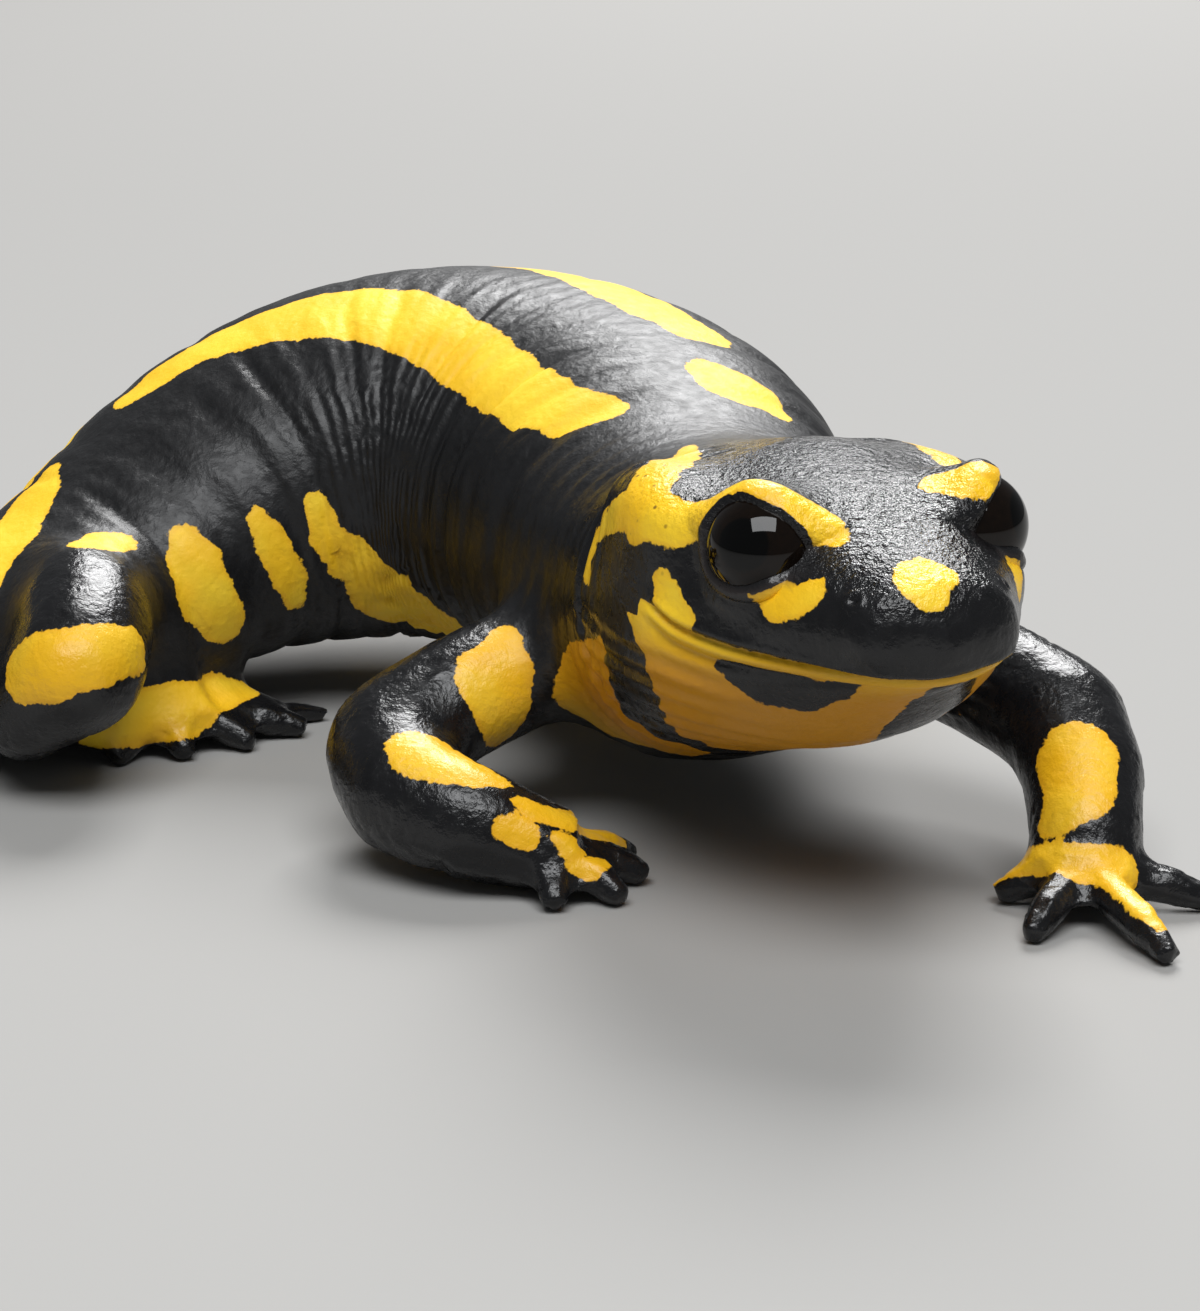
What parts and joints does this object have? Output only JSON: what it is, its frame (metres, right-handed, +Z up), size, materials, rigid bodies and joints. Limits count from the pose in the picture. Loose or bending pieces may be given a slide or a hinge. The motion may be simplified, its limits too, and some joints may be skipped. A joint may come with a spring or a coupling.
{
  "type": "fire salamander model",
  "caption": "Life-size standing fire salamander with its head raised, body bent to one side and tail trailing on the ground.",
  "frame": {"origin": "centre of the footprint on the ground, under the middle of the animal's bounding box", "axes": "+Z up; the animal looks along -Y and a little to +X; its hips and tail lie towards -X"},
  "size_m": [0.1366, 0.075, 0.0243],
  "materials": {
    "skin": "glossy damp black skin with yellow markings",
    "eye": "wet, near-black, mirror-like"
  },
  "bodies": {
    "root": {"head": "skin", "lower_jaw": "skin", "eye_right": "eye", "eye_left": "eye", "neck": "skin", "chest": "skin", "belly": "skin", "hips": "skin", "tail_base": "skin", "tail_middle": "skin", "tail_tip": "skin", "upper_arm_right": "skin", "forearm_right": "skin", "hand_right": "skin", "upper_arm_left": "skin", "forearm_left": "skin", "hand_left": "skin", "thigh_right": "skin", "shank_right": "skin", "foot_right": "skin", "thigh_left": "skin", "shank_left": "skin", "foot_left": "skin"}
  },
  "joints": []
}
